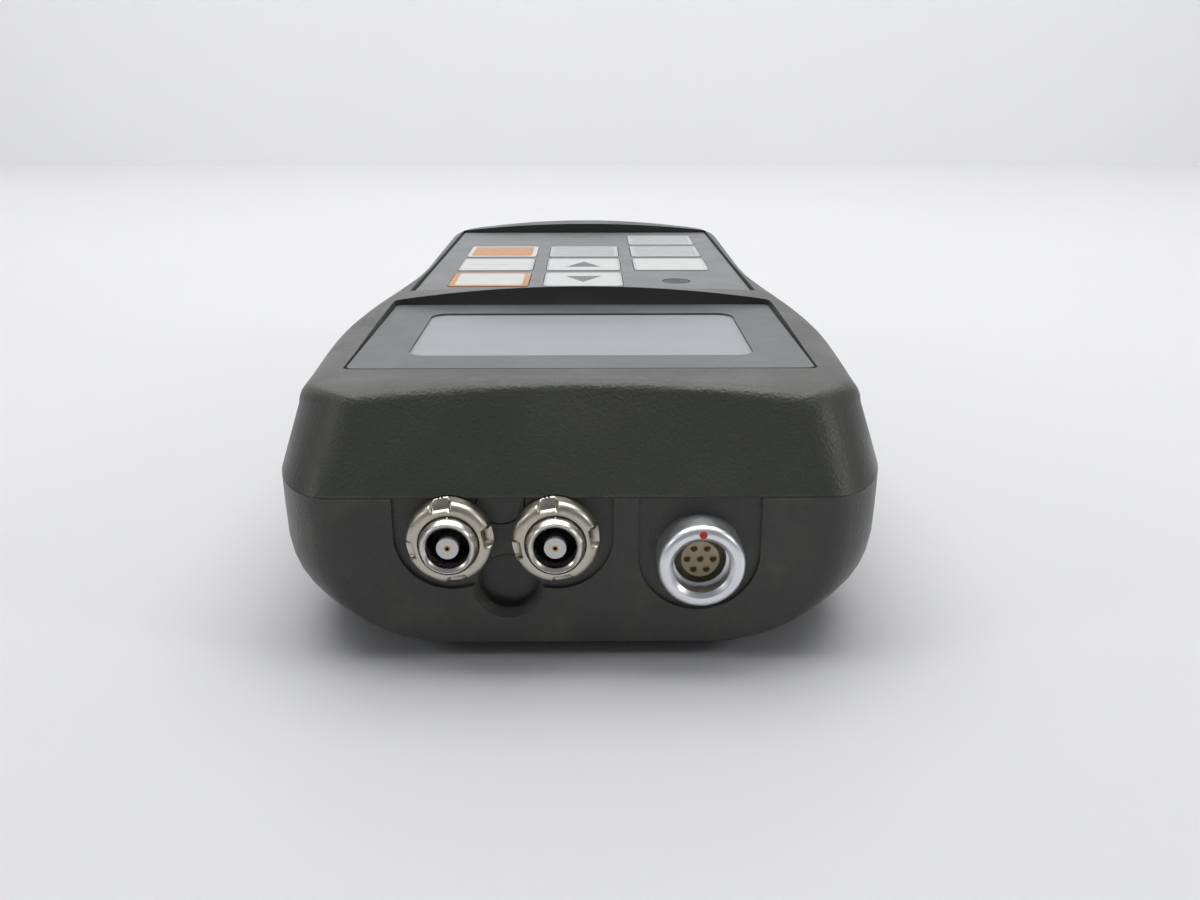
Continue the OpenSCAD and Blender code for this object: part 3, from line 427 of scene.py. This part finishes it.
def display_glass():
    """Grey-green reflective display with the segments off, and a polariser's soft mottling."""
    grey_green = (0.36, 0.39, 0.38)
    paler = (0.41, 0.435, 0.43)
    shade = Shade("lcd", grey_green, 0.3)
    cloud = shade.noise(16 * MM, 3)
    shade.set("Base Color", shade.mix(shade.remap(cloud, 0.3, 0.7), grey_green, paler))
    shade.bump(shade.noise(0.1 * MM, 2), 0.006 * MM, 0.4)
    return shade.material


def cell_wrap():
    """Battery cell in a plain dark sleeve, with a bright band that starts at one end."""
    sleeve = (0.03, 0.03, 0.035)
    band_color = (0.5, 0.3, 0.1)
    scuffed = (0.12, 0.12, 0.12)
    band_end_y = FRONT_Y + 90 * MM
    shade = Shade("cell_wrap", sleeve, 0.3)
    past_band = shade.remap(shade.y, band_end_y, band_end_y + 0.3 * MM)
    color = shade.mix(past_band, band_color, sleeve)
    scuffs = shade.remap(shade.noise(3 * MM), 0.5, 0.8, 0, 0.2)
    shade.set("Base Color", shade.mix(scuffs, color, scuffed))
    shade.set("Metallic", shade.math("SUBTRACT", 0.8, shade.math("MULTIPLY", past_band, 0.7)))
    return shade.material


# Slots of plain plastic, film or rubber: colour and roughness
PLASTICS = {
    "elastomer": ((0.02, 0.02, 0.022), 0.6),
    "diffuser": ((0.75, 0.74, 0.68), 0.5),
    "chip": ((0.018, 0.018, 0.02), 0.5),
    "connector_body": ((0.55, 0.52, 0.44), 0.45),
    "spacer_film": ((0.6, 0.6, 0.58), 0.5),
    "circuit_film": ((0.42, 0.2, 0.04), 0.3),
    "led_body": ((0.4, 0.02, 0.015), 0.25),
    "cream_insert": ((0.47, 0.41, 0.25), 0.45),
    "red_dot": ((0.6, 0.02, 0.015), 0.35),
}

# Slots of plain plated metal: colour and roughness
METALS = {
    "tin_plate": ((0.6, 0.6, 0.58), 0.35),
    "spring_steel": ((0.6, 0.6, 0.58), 0.25),
    "screw_steel": ((0.11, 0.11, 0.115), 0.38),
}

MATERIALS = {
    "case_plastic": case_plastic(),
    "overlay_film": overlay_film("overlay_film", (0.1, 0.103, 0.107)),
    "clear_window": clear_window(),
    "lcd": display_glass(),
    "board": circuit_board(),
    "lens_dark": plain_plastic("lens_dark", (0.03, 0.03, 0.034), 0.5, 1 * MM),
    "nickel": nickel_socket(),
    "ptfe": fluoropolymer(),
    "gold_contact": metal("gold_contact", (0.6, 0.36, 0.16), 0.3, 0.08, (0.16, 0.07, 0.04), 0.5).material,
    "matte_chrome": satin_shell(),
    "cell_wrap": cell_wrap(),
}
for name, (color, roughness) in PLASTICS.items():
    MATERIALS[name] = plain_plastic(name, color, roughness)
for name, (color, roughness) in METALS.items():
    MATERIALS[name] = metal(name, color, roughness).material

# Nodes whose material is their own, not their slot's. Keys have their own too, from the table below.
NUT_MATERIAL = nickel_nut()
OWN_MATERIALS = {
    "coax_nut_left": NUT_MATERIAL,
    "coax_nut_right": NUT_MATERIAL,
    "keypad_overlay": overlay_film("keypad_film", (0.14, 0.144, 0.15)),
}

WHITE = (0.51, 0.52, 0.515)
PALE = (0.4, 0.415, 0.42)
GREY = (0.33, 0.345, 0.35)
ORANGE = (0.45, 0.2, 0.07)

# Each key: its column and row counted from the display, fill, border, border width and symbol
KEY_PRINTS = {
    "multi_key": (-1, 0, WHITE, ORANGE, 1.1 * MM, None),
    "on_key": (-1, 1, WHITE, PALE, 0.45 * MM, "line"),
    "send_key": (-1, 2, ORANGE, WHITE, 0.9 * MM, None),
    "up_key": (0, 0, WHITE, PALE, 0.45 * MM, "toward"),
    "down_key": (0, 1, WHITE, PALE, 0.45 * MM, "away"),
    "grey_key_middle": (0, 2, GREY, PALE, 0.8 * MM, None),
    "mode_key": (1, 1, WHITE, PALE, 0.45 * MM, None),
    "grey_key_upper": (1, 2, GREY, PALE, 0.8 * MM, None),
    "grey_key_lower": (1, 3, GREY, PALE, 0.8 * MM, None),
}


# Turns between two faces: nearly flat, shaded as sharp, rounded as sharp, and folded back
FLAT_TURN = math.radians(0.2)
SHADED_TURN = math.radians(32)
ROUNDED_TURN = math.radians(38)
FOLDED_TURN = math.radians(179.5)

# Distances that count as nothing: between doubled places, along an edge, and from a cutting plane
SAME_PLACE = 0.002 * MM
NO_LENGTH = 0.001 * MM
ON_PLANE = 0.0005 * MM


def turns_more(edge, limit):
    """True for an edge between two faces that turns by more than the limit."""
    if len(edge.link_faces) != 2:
        return False
    return edge.calc_face_angle() > limit


def in_plane(edge, plane):
    """True for an edge that lies in a plane, given as an axis and a place on it."""
    axis, place = plane
    return all(abs(vert.co[axis] - place) < NO_LENGTH for vert in edge.verts)


def unfold(mesh):
    """Joins triangles that lie folded on each other, one pair at a time."""
    most_folds = 8
    for _ in range(most_folds):
        mesh.normal_update()
        folded = [edge for edge in mesh.edges if turns_more(edge, FOLDED_TURN)]
        if not folded:
            return
        bmesh.ops.dissolve_edges(mesh, edges=folded[:1])


def merge_flat(mesh, planes):
    """Joins triangles into flat faces, which planes through the holes keep free of holes."""
    bmesh.ops.remove_doubles(mesh, verts=mesh.verts, dist=SAME_PLACE)
    unfold(mesh)
    for axis, place in planes:
        spot = [0, 0, 0]
        spot[axis] = place
        direction = [0, 0, 0]
        direction[axis] = 1
        whole = mesh.verts[:] + mesh.edges[:] + mesh.faces[:]
        bmesh.ops.bisect_plane(mesh, geom=whole, dist=ON_PLANE, plane_co=spot, plane_no=direction)
    loose = [edge for edge in mesh.edges if not any(in_plane(edge, plane) for plane in planes)]
    bmesh.ops.dissolve_limit(mesh, angle_limit=FLAT_TURN, verts=mesh.verts, edges=loose)


def round_edges(mesh, width, keep, segments):
    """Rounds the sharp edges that the filter keeps, by at most this width."""
    sharp = [edge for edge in mesh.edges if turns_more(edge, ROUNDED_TURN) and (keep is None or keep(edge))]
    bmesh.ops.bevel(
        mesh, geom=sharp, offset=width, segments=segments, profile=0.5, affect="EDGES", clamp_overlap=True
    )
    bmesh.ops.dissolve_degenerate(mesh, dist=NO_LENGTH, edges=mesh.edges)


def rounded_copy(node, width, keep, segments, planes):
    """A smooth copy of a CAD node that stands for it, with rounded edges where a width is given."""
    source = frame["nodes"][node]
    mesh = bmesh.new()
    mesh.from_mesh(source.data)
    merge_flat(mesh, planes)
    if width:
        round_edges(mesh, width, keep, segments)
    data = bpy.data.meshes.new(node + "_round")
    mesh.to_mesh(data)
    mesh.free()
    for face in data.polygons:
        face.use_smooth = True
    data.set_sharp_from_angle(angle=SHADED_TURN)
    copy = bpy.data.objects.new(node + "_round", data)
    bpy.context.scene.collection.objects.link(copy)
    normals = copy.modifiers.new("even_shading", "WEIGHTED_NORMAL")
    normals.keep_sharp = True
    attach(copy, BODY_OF[node])
    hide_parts(node)
    return copy


def dress(piece, material):
    """Gives a piece this one material."""
    piece.data.materials.clear()
    piece.data.materials.append(material)


def faces_out(edge):
    """True where one of the edge's faces looks sideways, away from the middle of the case."""
    middle = (edge.verts[0].co + edge.verts[1].co) / 2
    for face in edge.link_faces:
        level = abs(face.normal.z) > 0.9
        if not level and face.normal.x * middle.x + face.normal.y * middle.y > 0:
            return True
    return False


def outer_edge(edge):
    """True for the shells' edges that show: the seam's, the panels' and the connector end's."""
    middle = (edge.verts[0].co + edge.verts[1].co) / 2
    at_seam = abs(middle.z - PARTING_Z) < 0.1 * MM
    on_top = middle.z > PANEL_Z - 0.2 * MM
    at_front = middle.y < FRONT_Y + 0.9 * MM
    return on_top or ((at_seam or at_front) and faces_out(edge))


SMALL_EDGE = 0.12 * MM
HOLE_CENTRES = (*COAX_CENTRES, DATA_CENTRE)
LEFT_PLANES = ((0, COAX_CENTRES[0][0]), (2, COAX_CENTRES[0][1]))
RIGHT_PLANES = ((0, COAX_CENTRES[1][0]), (2, COAX_CENTRES[1][1]))
DATA_PLANES = ((0, DATA_CENTRE[0]), (2, DATA_CENTRE[1]))
SHELL_PLANES = ((0, 0), (1, 0), *((0, centre[0]) for centre in HOLE_CENTRES))

# Each node that gets a smooth copy: greatest width of its rounded edges, filter for them, steps, and the
# planes through its holes
EDGES = {
    "upper_shell": (0.3 * MM, outer_edge, 3, SHELL_PLANES),
    "lower_shell": (0.2 * MM, outer_edge, 2, SHELL_PLANES),
    "battery_door": (0.15 * MM, None, 2, ()),
    "coax_nut_left": (SMALL_EDGE, None, 2, LEFT_PLANES),
    "coax_nut_right": (SMALL_EDGE, None, 2, RIGHT_PLANES),
    "coax_socket_left": (0, None, 0, LEFT_PLANES),
    "coax_socket_right": (0, None, 0, RIGHT_PLANES),
    "data_socket": (0.2 * MM, None, 3, DATA_PLANES),
    "indicator_lens": (SMALL_EDGE, None, 2, ()),
}
DOMES = [key.replace("key", "dome") for key in KEY_PRINTS]
for key in KEY_PRINTS:
    EDGES[key] = (SMALL_EDGE, None, 2, ())
for dome in DOMES:
    EDGES[dome] = (0, None, 0, ())


def give_way(copy):
    """Gives a snap dome's copy a mesh of its own; nothing here flattens it."""
    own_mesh(copy)


def material_of(node):
    """A key's own print, the node's own material, or its slot's."""
    if node in KEY_PRINTS:
        column, row, *look = KEY_PRINTS[node]
        return key_face(node + "_print", key_centre(column, row), *look)
    return OWN_MATERIALS.get(node, MATERIALS[SLOT_OF[node]])


def dress_all():
    """Gives every node its material, and a smooth copy where its edges show or its shape gives way."""
    for node, piece in frame["nodes"].items():
        material = material_of(node)
        dress(piece, material)
        if node in EDGES:
            copy = rounded_copy(node, *EDGES[node])
            dress(copy, material)
            if node in DOMES:
                give_way(copy)


def plain_surface(name, color, roughness):
    """A matt studio surface with barely visible unevenness."""
    shade = Shade(name, color, roughness)
    cloud = shade.noise(0.4, 3)
    darker = tuple(0.97 * part for part in color)
    shade.set("Base Color", shade.mix(shade.remap(cloud, 0.3, 0.7), color, darker))
    return shade.material


def flat_panel(name, corners, color):
    """A flat four-cornered piece of the studio."""
    data = bpy.data.meshes.new(name)
    data.from_pydata(corners, [], [(0, 1, 2, 3)])
    piece = bpy.data.objects.new(name, data)
    bpy.context.scene.collection.objects.link(piece)
    dress(piece, plain_surface(name + "_surface", color, 0.55))


def studio():
    """Pale table that ends at a pale wall, behind the gauge."""
    far = 0.65
    side = 3.0
    near = -2.5
    tall = 2.2
    table = [(-side, near, 0), (side, near, 0), (side, far, 0), (-side, far, 0)]
    wall = [(-side, far, tall), (side, far, tall), (side, far, 0), (-side, far, 0)]
    flat_panel("floor", table, (0.61, 0.61, 0.62))
    flat_panel("wall", wall, (0.9, 0.9, 0.9))


def soft_light(name, place, target, size, power):
    """A rectangular lamp at a place, turned to a target. Power is in watts."""
    data = bpy.data.lights.new(name, "AREA")
    data.shape = "RECTANGLE"
    data.size, data.size_y = size
    data.energy = power
    lamp = bpy.data.objects.new(name, data)
    lamp.location = place
    aim = Vector(target) - Vector(place)
    lamp.rotation_mode = "QUATERNION"
    lamp.rotation_quaternion = aim.to_track_quat("-Z", "Y")
    bpy.context.scene.collection.objects.link(lamp)


def light_studio():
    """Even light from above and from the room, with a small lamp on each side for glints."""
    world = bpy.data.worlds.new("studio")
    world.use_nodes = True
    room = world.node_tree.nodes["Background"]
    room.inputs["Color"].default_value = (0.93, 0.95, 1, 1)
    room.inputs["Strength"].default_value = 0.23
    bpy.context.scene.world = world
    soft_light("overhead", (0, 0.26, 1.0), (0, 0.04, 0), (1.4, 0.8), 9.6)
    soft_light("wall_wash", (0, 0, 0.9), (0, 0.65, 0.3), (1.6, 0.3), 4.4)
    soft_light("left_fill", (-0.76, -0.28, 0.42), (0, 0, 0.02), (0.08, 0.16), 0.55)
    soft_light("right_fill", (0.76, -0.28, 0.42), (0, 0, 0.02), (0.08, 0.16), 0.85)


def photo_camera():
    """Camera fitted to the photograph, whose place, turn and focal length it has."""
    focal_pixels = 1070
    photo_pixels = 1200
    data = bpy.data.cameras.new("photo_camera")
    data.sensor_fit = "HORIZONTAL"
    data.sensor_width = 36
    data.lens = data.sensor_width * focal_pixels / photo_pixels
    data.clip_start = 0.01
    camera = bpy.data.objects.new("photo_camera", data)
    camera.location = (1.2 * MM, -183.8 * MM, 66.3 * MM)
    pitch = math.radians(19.46)
    yaw = math.radians(0.54)
    aim = Vector((math.sin(yaw) * math.cos(pitch), math.cos(yaw) * math.cos(pitch), -math.sin(pitch)))
    camera.rotation_mode = "QUATERNION"
    camera.rotation_quaternion = aim.to_track_quat("-Z", "Y")
    bpy.context.scene.collection.objects.link(camera)
    bpy.context.scene.camera = camera


dress_all()
studio()
light_studio()
photo_camera()
bpy.context.scene.view_settings.view_transform = "Standard"
